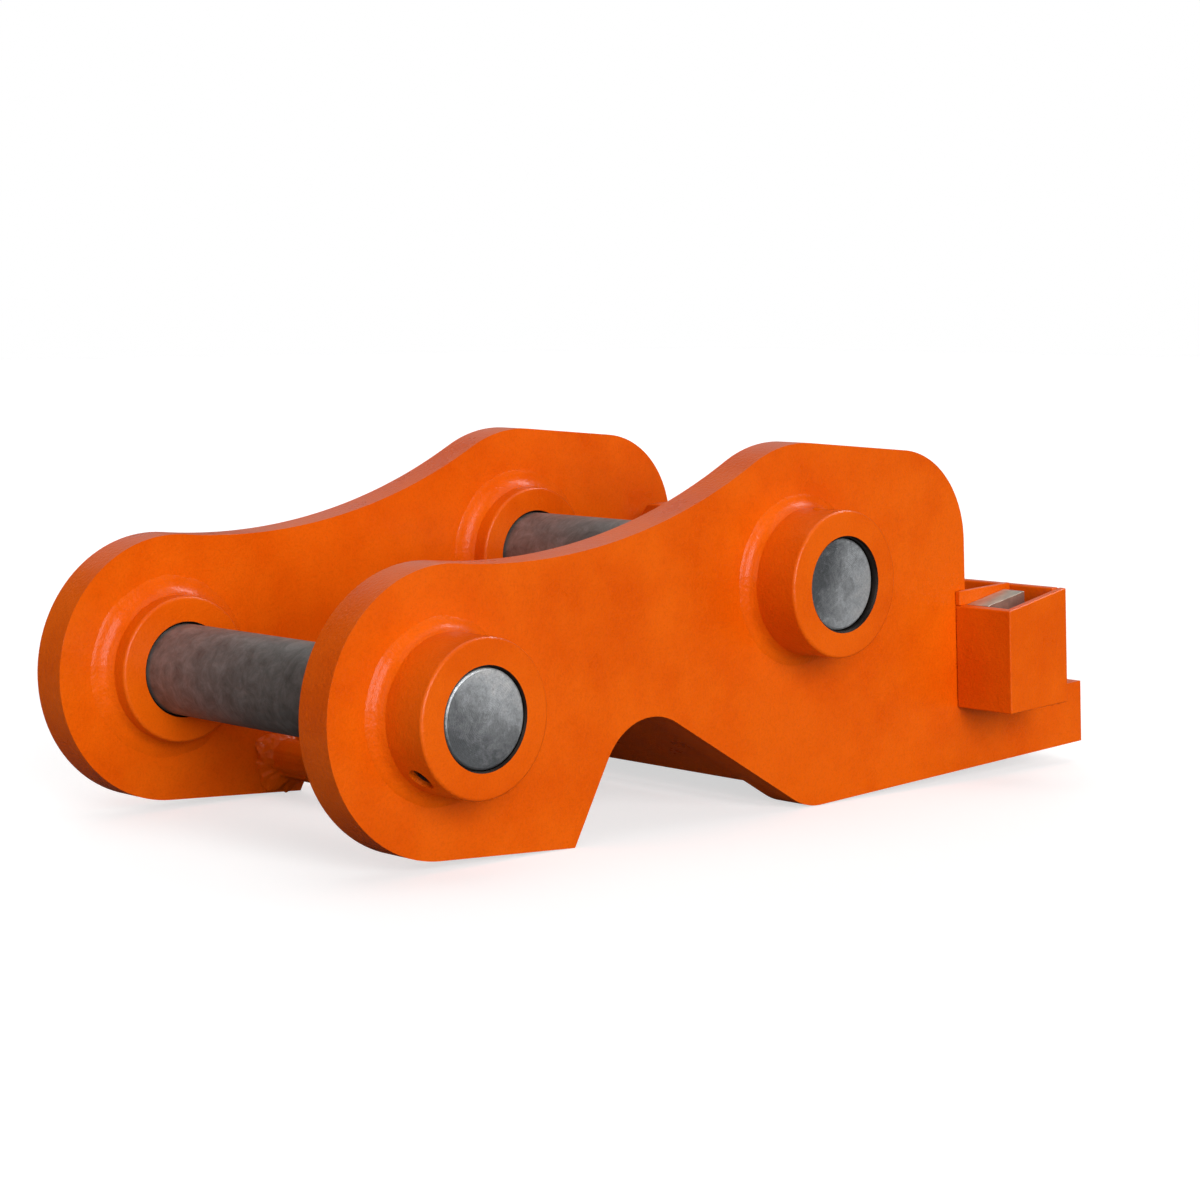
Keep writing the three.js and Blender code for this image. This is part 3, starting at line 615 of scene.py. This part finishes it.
def makeTieBar():
    # a round bar with a lumpy run of weld at each end, laid in three uneven passes
    barEnd, beadEnd = lining["half"], lining["half"] - tieBar["weldLength"]
    profile = [
        (0, -barEnd), (tieBar["weldRadius"], -barEnd), (tieBar["weldRadius"] * 0.93, -barEnd + 2.0),
        (tieBar["weldRadius"] * 0.78, -barEnd + 4.4), (tieBar["radius"] + 1.2, -beadEnd - 1.2),
        (tieBar["radius"], -beadEnd),
    ]
    profile += [(radius, -y) for radius, y in reversed(profile)]
    bm = turnProfile(profile, (tieBar["x"], tieBar["z"]), steps=96)
    onBead = lambda vert: abs(vert.co.y) > (beadEnd - 0.1) * mm
    beads = [edge for edge in bm.edges if all(onBead(vert) for vert in edge.verts)]
    bmesh.ops.subdivide_edges(bm, edges=beads, cuts=2, use_grid_fill=True)
    for vert in filter(onBead, bm.verts):
        centre = Vector((tieBar["x"] * mm, vert.co.y, tieBar["z"] * mm))
        lump = sum(size * noise.noise(vert.co / mm * perMm) for perMm, size in tieBar["lumps"])
        vert.co = centre + (vert.co - centre) * (tieBar["trim"] + lump)
    finishPiece("tieBar", bm, "frame", weldPaint, "tie_bar", weighted=False)


makeLining()
makeTieBar()
print("hook and tie bar made")


# the rear body's plates, in u, y and w
half = lining["half"]
floorPlate = {"startU": -8, "endU": 202.6, "low": 13, "high": 23}
floorTop = floorPlate["high"]
shelfTop = 33.7
crossPlates = {      # outlines in (y, w), each with the stretch of u that it stands in
    "tailPlate": {"node": "tail_cross_plate", "u": (203, 214), "outline": [
        (-half, 4), (half, 4), (half, 31), (-half, 31)]},
    "midPlate": {"node": "mid_cross_plate", "u": (76.5, 88.5), "outline": [
        (-half, floorTop + 0.3), (half, floorTop + 0.3), (half, 116), (half - 18, 134), (-half + 18, 134),
        (-half, 116)]},
    "boxFrontMiddle": {"node": "box_front_wall_middle", "u": (110, 120), "outline": [
        (-half, floorTop + 0.3), (half, floorTop + 0.3), (half, 94), (-half, 94)]},
    "boxRear": {"node": "box_rear_wall", "u": (153, 158), "outline": [
        (-147.2, shelfTop), (-half, shelfTop), (-half, floorTop + 0.3), (half, floorTop + 0.3),
        (half, shelfTop), (147.2, shelfTop), (147.2, 94), (-147.2, 94)]},
}


def outlinePlate(outline, start, thickness, bevel=1.1):
    # outline points are (x, z); the plate runs from start along +Y
    bm = bmesh.new()
    tip = startChain(bm, *outline[0], y=start)
    for point in outline[1:] + outline[:1]:
        tip = lineTo(bm, tip, *point)
    extrudeOutline(bm, thickness)
    bevelSharp(bm, bevel)
    return bm


floorBlock = blockMesh(
    (floorPlate["startU"], -half, floorPlate["low"]), (floorPlate["endU"], half, floorTop))
finishPiece("floorPlate", floorBlock, "frame", paint, "floor_plate")
for name, plate in crossPlates.items():
    startU, endU = plate["u"]
    bm = outlinePlate(plate["outline"], -endU, endU - startU)
    bmesh.ops.transform(bm, matrix=rearPlace @ Matrix.Rotation(math.pi / 2, 4, "Z"), verts=bm.verts)
    finishPiece(name, bm, "frame", paint, plate["node"])

lockBox = {
    "half": 152, "wall": 4.5, "frontU": {-1: 112, 1: 110.8}, "inner": {-1: 115.8, 1: 95.5}, "rearU": 158,
    "bottom": shelfTop, "frontTop": 87.2, "rearTop": 94,
    "guideTop": 95, "guideLow": 83, "guideY": (115.8, 118.8), "guideEndU": 152.7,
}


def mouthHeight(u):
    box = lockBox
    slope = (box["rearTop"] - box["frontTop"]) / (box["rearU"] - box["frontU"][-1])
    return box["frontTop"] + (u - box["frontU"][-1]) * slope


def makeBoxShell(sideName, side):
    # the outboard front wall and the end wall, their corner welded and dressed to one edge
    box = lockBox
    frontU, wallU, halfY = box["frontU"][side], box["frontU"][side] + box["wall"], box["half"]
    corners = [
        (frontU, box["inner"][side]), (frontU, halfY), (box["rearU"], halfY),
        (box["rearU"], halfY - box["wall"]), (wallU, halfY - box["wall"]), (wallU, box["inner"][side]),
    ]
    bm = bmesh.new()
    bm.faces.new([bm.verts.new(at(u, y * side, box["bottom"])) for u, y in corners])
    made = bmesh.ops.extrude_face_region(bm, geom=bm.faces[:])
    for vert in onlyVerts(made["geom"]):
        vert.co.z = mouthHeight(vert.co.x / mm) * mm
    bmesh.ops.recalc_face_normals(bm, faces=bm.faces)
    bevelSharp(bm, 0.8, 3)
    bmesh.ops.transform(bm, matrix=rearPlace, verts=bm.verts)
    node = sideName.lower()
    finishPiece(f"boxShell{sideName}", bm, "frame", paint,
                (f"box_end_wall_{node}", f"box_front_wall_{node}"))

    top, low, inside = box["guideTop"], box["guideLow"], mouthHeight(frontU) + 0.3
    endU = box["guideEndU"]
    outline = [
        (frontU, inside), (wallU + 0.3, inside), (wallU + 0.3, low), (endU, low), (endU, top),
        (frontU, top),
    ]
    start = box["guideY"][0] if side > 0 else -box["guideY"][1]
    bm = outlinePlate(outline, start, box["guideY"][1] - box["guideY"][0], 0.6)
    bmesh.ops.transform(bm, matrix=rearPlace, verts=bm.verts)
    finishPiece(f"keyGuide{sideName}", bm, "frame", paint, f"key_guide_{node}")


for sideName, side in (("Left", -1), ("Right", 1)):
    makeBoxShell(sideName, side)
print("lock box made")


# weld beads along the straight seams, each laid on both sides
seams = {     # start, end and bead radius, in the rear body's u, y and w
    "midFront": ((76, 95, 25), (76, 95, 114), 3.2),
    "midRear": ((89, 95, 25), (89, 95, 92), 3.2),
    "floorFront": ((2, 95, 23.4), (75, 95, 23.4), 2.8),
    "wallFront": ((109.6, 95, 25), (109.6, 95, 93), 3.0),
    "rearWallShelf": ((158.4, 98, 33.6), (158.4, 146, 33.9), 2.2),
    "rearWallInside": ((152.6, 97, 33.6), (152.6, 146, 33.9), 2.2),
    "boxCorner": ((158.2, 147.4, 35), (158.2, 147.4, 93), 1.7),
    "tail": ((202.8, 95, 24), (202.8, 95, 30.4), 2.4),
    "tailOuter": ((214.2, 95, 5), (214.2, 95, 30.4), 2.4),
    "lug": ((160.5, 22.2, 104.6), (175.5, 22.2, 104.6), 1.6),
}
for index, (name, (start, end, radius)) in enumerate(seams.items()):
    for sideName, side in (("Left", -1), ("Right", 1)):
        low, high = ((u, y * side, w) for u, y, w in (start, end))
        weldLine(f"{name}Seam{sideName}", low, high, radius, seed=index * 2 + side)
weldLine("floorRearSeam", (202.8, -90, 23.2), (202.8, 90, 23.2), 2.4, seed=31)
weldLine("wallFloorSeam", (109.6, -90, 23.4), (109.6, 90, 23.4), 2.8, seed=32)
weldLine("midFloorSeam", (76, -90, 23.4), (76, 90, 23.4), 2.8, seed=33)
for sideName, side in (("Left", -1), ("Right", 1)):
    weldLine(f"liningSeam{sideName}", (-43.8, 95 * side, 63.2), (24.5, 95 * side, 23.8), 2.6,
             seed=40 + side, place=Matrix())
print("seams welded")


# lock gear, screws and bolts: each CAD part's own shape, its edges dressed and finished
fittings = {       # finish, then the edge's radius in mm
    "stick_pin_screw": (blackOxide, 0.5), "link_pin_screw": (blackOxide, 0.5),
    "lock_crossbar": (milledSteel, 1.2), "lock_nut": (bronze, 0.8),
    "lock_key_left": (milledSteel, 1.2), "lock_key_right": (milledSteel, 1.2),
    "key_bolt_left": (zincPlate, 0.6), "key_bolt_right": (zincPlate, 0.6),
    "lock_spindle": (milledSteel, 0.6), "spindle_collar": (blackOxide, 0.6),
    "collar_pin": (zincPlate, 0.4), "spindle_washer": (zincPlate, 0.4),
    "lock_lid": (paint, 1.2), "lid_rail_front": (paint, 1.0), "lid_rail_rear": (paint, 1.0),
    "lid_bolt_1": (zincPlate, 0.5), "lid_bolt_2": (zincPlate, 0.5),
    "lid_bolt_3": (zincPlate, 0.5), "lid_bolt_4": (zincPlate, 0.5),
    "grease_fitting": (zincPlate, 0.3), "head_keeper": (zincPlate, 0.8),
    "keeper_lug_left": (paint, 0.9), "keeper_lug_right": (paint, 0.9), "keeper_pin": (blackOxide, 0.4),
}
bodyOf = {node: body for body, nodes in frame["record"]["behaviour"]["bodies"].items() for node in nodes}
for node, (material, edge) in fittings.items():
    bm = bmesh.new()
    bm.from_mesh(frame["nodes"][node].data)
    bmesh.ops.remove_doubles(bm, verts=bm.verts, dist=0.01 * mm)
    bmesh.ops.dissolve_limit(
        bm, angle_limit=math.radians(1), use_dissolve_boundaries=False, verts=bm.verts, edges=bm.edges)
    bevelSharp(bm, edge, 3)
    words = node.split("_")
    name = words[0] + "".join(word.title() for word in words[1:])
    finishPiece(name, bm, bodyOf[node], material, node)
print("fittings dressed")


def makeStage():
    # a roll of matt white vinyl; it looks white, but throws little light back at the paint
    material, tree, output, coords = newMaterial("whiteStudioVinyl")
    tooth = addNode(tree, "ShaderNodeTexNoise", links={"Vector": coords, "Scale": 300.0, "Detail": 2.0})
    colour = addNode(tree, "ShaderNodeValToRGB", {"stops": [(0.3, grey(0.56)), (0.7, grey(0.58))]},
                     {"Fac": tooth.outputs["Fac"]})
    path = addNode(tree, "ShaderNodeLightPath").outputs
    bounce = addNode(tree, "ShaderNodeMix", {"data_type": "RGBA"}, {
        0: path["Is Glossy Ray"], 6: grey(0.32), 7: grey(0.05)})
    bounce = addNode(tree, "ShaderNodeMix", {"data_type": "RGBA"}, {
        0: path["Is Camera Ray"], 6: bounce.outputs[2], 7: colour.outputs[0]})
    glow = addNode(tree, "ShaderNodeMath", {"operation": "MULTIPLY"}, {0: path["Is Camera Ray"], 1: 0.62})
    shader = addNode(tree, "ShaderNodeBsdfPrincipled", links={
        "Base Color": bounce.outputs[2], "Roughness": 0.9, "Specular IOR Level": 0.1,
        "Emission Color": grey(1.0), "Emission Strength": glow.outputs[0]})
    tree.links.new(shader.outputs[0], output.inputs["Surface"])
    bm = bmesh.new()
    bmesh.ops.create_grid(bm, x_segments=1, y_segments=1, size=9.0)
    mesh = bpy.data.meshes.new("floor")
    bm.to_mesh(mesh)
    bm.free()
    floor = bpy.data.objects.new("floor", mesh)
    mesh.materials.append(material)
    bpy.context.scene.collection.objects.link(floor)


def addLight(name, kind, towards, settings, place=(0, 0, 0), fill=True, shine=True):
    # without fill it is a reflector that only shows in gloss and metal; without shine, the reverse
    data = bpy.data.lights.new(name, kind)
    for key, value in settings.items():
        setattr(data, key, value)
    light = bpy.data.objects.new(name, data)
    light.location = place
    light.rotation_mode = "QUATERNION"
    light.rotation_quaternion = Vector(towards).to_track_quat("-Z", "Y")
    light.visible_diffuse = fill
    light.visible_glossy = shine
    bpy.context.scene.collection.objects.link(light)


makeStage()
addLight("frontScrim", "SUN", (0.36, 0.9, -0.28), {"energy": 2.85, "angle": math.radians(38)})
addLight("rearScrim", "SUN", (-0.55, -0.8, -0.2), {"energy": 1.9, "angle": math.radians(50)}, shine=False)
addLight("overheadScrim", "SUN", (-0.1, -0.1, -1.0), {"energy": 0.75, "angle": math.radians(60)})
addLight("skyPanel", "AREA", (-0.45, -0.7, -0.55), {
    "shape": "RECTANGLE", "size": 2.4, "size_y": 1.3, "energy": 3.8}, (0.95, 1.5, 0.95), fill=False)
addLight("glintStrip", "AREA", (-0.67, 0.1, -0.73), {
    "shape": "RECTANGLE", "size": 0.9, "size_y": 0.25, "energy": 9}, (0.95, -0.25, 1.2), fill=False)
addLight("sideStrip", "AREA", (1.2, 0.1, -0.35), {
    "shape": "RECTANGLE", "size": 0.5, "size_y": 1.4, "energy": 3}, (-1.9, -0.4, 0.6), fill=False)


def makeWorld():
    # pale walls to look at, dim in what they send back to the paint
    world = bpy.data.worlds.new("studio")
    world.use_nodes = True
    tree = world.node_tree
    path = addNode(tree, "ShaderNodeLightPath").outputs
    level = addNode(tree, "ShaderNodeMix", {"data_type": "RGBA"}, {
        0: path["Is Glossy Ray"], 6: grey(0.2), 7: grey(0.03)})
    level = addNode(tree, "ShaderNodeMix", {"data_type": "RGBA"}, {
        0: path["Is Camera Ray"], 6: level.outputs[2], 7: grey(1.0)})
    tree.links.new(level.outputs[2], tree.nodes["Background"].inputs["Color"])
    bpy.context.scene.world = world


makeWorld()
bpy.context.scene.view_settings.view_transform = "Standard"

view = {"place": (-0.9886, -1.0845, 0.2525), "look": (0.6721, 0.733, -0.1049), "lens": 86.16}
cameraData = bpy.data.cameras.new("camera")
cameraData.sensor_width, cameraData.lens, cameraData.clip_end = 36, view["lens"], 50
camera = bpy.data.objects.new("camera", cameraData)
camera.location = view["place"]
camera.rotation_mode = "QUATERNION"
camera.rotation_quaternion = Vector(view["look"]).to_track_quat("-Z", "Y")
bpy.context.scene.collection.objects.link(camera)
bpy.context.scene.camera = camera
print("stage, lights and camera made")
